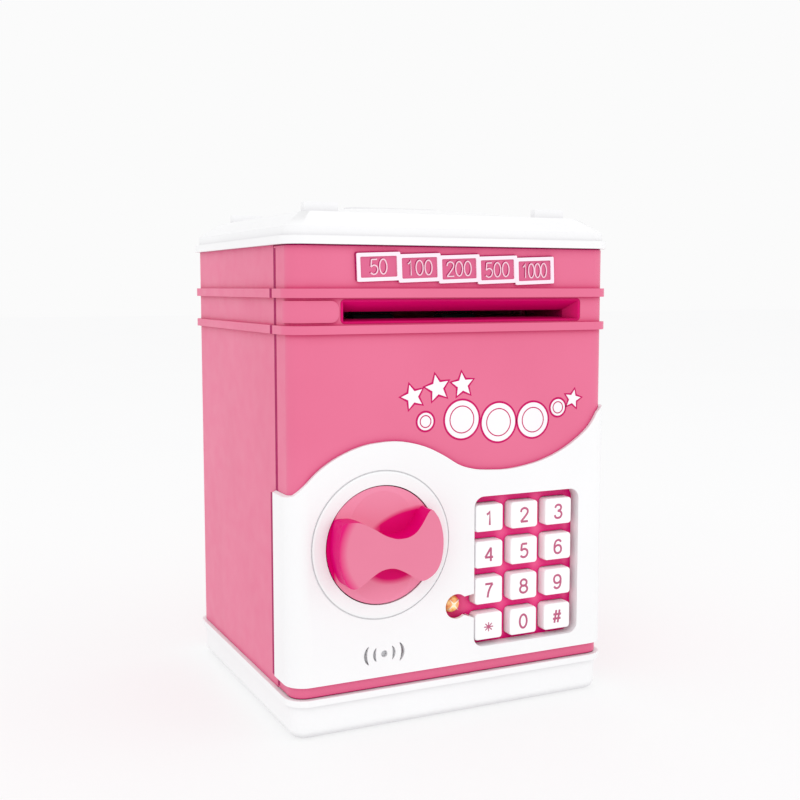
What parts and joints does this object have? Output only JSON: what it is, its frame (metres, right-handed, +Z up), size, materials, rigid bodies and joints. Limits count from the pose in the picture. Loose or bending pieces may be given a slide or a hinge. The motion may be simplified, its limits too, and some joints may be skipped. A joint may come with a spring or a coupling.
{
  "type": "toy safe coin bank",
  "caption": "Box-shaped toy safe coin bank with a hinged front door, keypad, turning lock knob, banknote feed slot and coin slot in the lid.",
  "frame": {"origin": "on the flat underside of the base, below the middle of the body", "axes": "+Z up, -Y out of the front door, +X to the right seen from the front"},
  "size_m": [0.134, 0.1293, 0.1921],
  "materials": {
    "pink_shell": "semi-gloss moulded pink plastic",
    "white_shell": "semi-gloss moulded white plastic",
    "white_keys": "smooth white plastic with printed pink characters",
    "magenta_plastic": "semi-gloss moulded magenta plastic",
    "grey_plastic": "satin",
    "black_plastic": "satin",
    "white_gears": "satin acetal",
    "grey_rubber": "matte",
    "black_rubber": "matte",
    "circuit_board": "solder-masked board",
    "amber_lens": "clear amber plastic",
    "battery_sleeve": "satin printed sleeve without text",
    "steel": "zinc-plated",
    "copper_wire": "enamelled copper winding"
  },
  "bodies": {
    "cabinet": {"rear_shell": "pink_shell", "base": "white_shell", "lid": "white_shell", "strike_plate": "steel", "hinge_pin_bottom": "steel", "hinge_pin_top": "steel", "base_screw_1": "steel", "base_screw_2": "steel", "base_screw_3": "steel", "base_screw_4": "steel"},
    "door": {"door_shell": "pink_shell", "door_panel": "white_shell", "denomination_strip": "white_shell", "note_bezel": "magenta_plastic", "keypad_plate": "magenta_plastic", "key_membrane": "grey_rubber", "main_board": "circuit_board", "indicator_lens": "amber_lens", "indicator_led": "amber_lens", "speaker": "black_plastic", "inner_cover": "pink_shell", "cover_screw_1": "steel", "cover_screw_2": "steel", "cover_screw_3": "steel", "cover_screw_4": "steel", "battery_tray": "black_plastic", "battery_1": "battery_sleeve", "battery_2": "battery_sleeve", "battery_3": "battery_sleeve", "bolt_guide": "grey_plastic", "solenoid_frame": "steel", "solenoid_coil": "copper_wire", "note_guide": "grey_plastic", "feed_motor": "steel"},
    "lock_knob": {"knob": "pink_shell", "knob_crank": "steel", "knob_screw": "steel"},
    "lock_bolt": {"lock_bolt": "steel"},
    "solenoid_plunger": {"solenoid_plunger": "steel"},
    "battery_cover": {"battery_cover": "pink_shell", "battery_cover_screw": "steel"},
    "drive_roller": {"drive_shaft": "steel", "drive_tyre_1": "black_rubber", "drive_tyre_2": "black_rubber", "drive_gear": "white_gears"},
    "pressure_roller": {"pressure_roller": "black_plastic"},
    "motor_pinion": {"motor_pinion": "white_gears"},
    "key_1": {"key_1": "white_keys"},
    "key_2": {"key_2": "white_keys"},
    "key_3": {"key_3": "white_keys"},
    "key_4": {"key_4": "white_keys"},
    "key_5": {"key_5": "white_keys"},
    "key_6": {"key_6": "white_keys"},
    "key_7": {"key_7": "white_keys"},
    "key_8": {"key_8": "white_keys"},
    "key_9": {"key_9": "white_keys"},
    "key_star": {"key_star": "white_keys"},
    "key_0": {"key_0": "white_keys"},
    "key_hash": {"key_hash": "white_keys"}
  },
  "joints": [
    {"name": "door_hinge", "type": "hinge", "parent": "cabinet", "child": "door", "pos_m": [0.0605, -0.052, 0.0952], "axis": [0, 0, 1], "range_deg": [0, 105]},
    {"name": "knob_turn", "type": "hinge", "parent": "door", "child": "lock_knob", "pos_m": [-0.0315, -0.055, 0.0685], "axis": [0, 1, 0], "range_deg": [0, 90]},
    {"name": "bolt_slide", "type": "slide", "parent": "door", "child": "lock_bolt", "axis": [-1, 0, 0], "range_m": [0, 0.00707]},
    {"name": "plunger_slide", "type": "slide", "parent": "door", "child": "solenoid_plunger", "axis": [0, 0, -1], "range_m": [0, 0.003], "stiffness_N_per_m": 60, "springref_m": -0.002},
    {"name": "battery_cover_lift", "type": "slide", "parent": "door", "child": "battery_cover", "axis": [0, 1, 0], "range_m": [0, 0.03]},
    {"name": "drive_roller_spin", "type": "hinge", "parent": "door", "child": "drive_roller", "pos_m": [0, -0.042, 0.1446], "axis": [1, 0, 0], "continuous": true},
    {"name": "pressure_roller_spin", "type": "hinge", "parent": "door", "child": "pressure_roller", "pos_m": [0, -0.042, 0.1554], "axis": [1, 0, 0], "continuous": true},
    {"name": "motor_pinion_spin", "type": "hinge", "parent": "door", "child": "motor_pinion", "pos_m": [0.0525, -0.036, 0.13421], "axis": [1, 0, 0], "continuous": true},
    {"name": "key_1_press", "type": "slide", "parent": "door", "child": "key_1", "axis": [0, 1, 0], "range_m": [0, 0.0012], "stiffness_N_per_m": 250, "springref_m": -0.001},
    {"name": "key_2_press", "type": "slide", "parent": "door", "child": "key_2", "axis": [0, 1, 0], "range_m": [0, 0.0012], "stiffness_N_per_m": 250, "springref_m": -0.001},
    {"name": "key_3_press", "type": "slide", "parent": "door", "child": "key_3", "axis": [0, 1, 0], "range_m": [0, 0.0012], "stiffness_N_per_m": 250, "springref_m": -0.001},
    {"name": "key_4_press", "type": "slide", "parent": "door", "child": "key_4", "axis": [0, 1, 0], "range_m": [0, 0.0012], "stiffness_N_per_m": 250, "springref_m": -0.001},
    {"name": "key_5_press", "type": "slide", "parent": "door", "child": "key_5", "axis": [0, 1, 0], "range_m": [0, 0.0012], "stiffness_N_per_m": 250, "springref_m": -0.001},
    {"name": "key_6_press", "type": "slide", "parent": "door", "child": "key_6", "axis": [0, 1, 0], "range_m": [0, 0.0012], "stiffness_N_per_m": 250, "springref_m": -0.001},
    {"name": "key_7_press", "type": "slide", "parent": "door", "child": "key_7", "axis": [0, 1, 0], "range_m": [0, 0.0012], "stiffness_N_per_m": 250, "springref_m": -0.001},
    {"name": "key_8_press", "type": "slide", "parent": "door", "child": "key_8", "axis": [0, 1, 0], "range_m": [0, 0.0012], "stiffness_N_per_m": 250, "springref_m": -0.001},
    {"name": "key_9_press", "type": "slide", "parent": "door", "child": "key_9", "axis": [0, 1, 0], "range_m": [0, 0.0012], "stiffness_N_per_m": 250, "springref_m": -0.001},
    {"name": "key_star_press", "type": "slide", "parent": "door", "child": "key_star", "axis": [0, 1, 0], "range_m": [0, 0.0012], "stiffness_N_per_m": 250, "springref_m": -0.001},
    {"name": "key_0_press", "type": "slide", "parent": "door", "child": "key_0", "axis": [0, 1, 0], "range_m": [0, 0.0012], "stiffness_N_per_m": 250, "springref_m": -0.001},
    {"name": "key_hash_press", "type": "slide", "parent": "door", "child": "key_hash", "axis": [0, 1, 0], "range_m": [0, 0.0012], "stiffness_N_per_m": 250, "springref_m": -0.001}
  ],
  "couplings": [
    {"joint": "knob_turn", "follows": "bolt_slide", "rad_per_m": 222},
    {"joint": "motor_pinion_spin", "follows": "drive_roller_spin", "ratio": -2},
    {"joint": "pressure_roller_spin", "follows": "drive_roller_spin", "ratio": -1.3333}
  ]
}
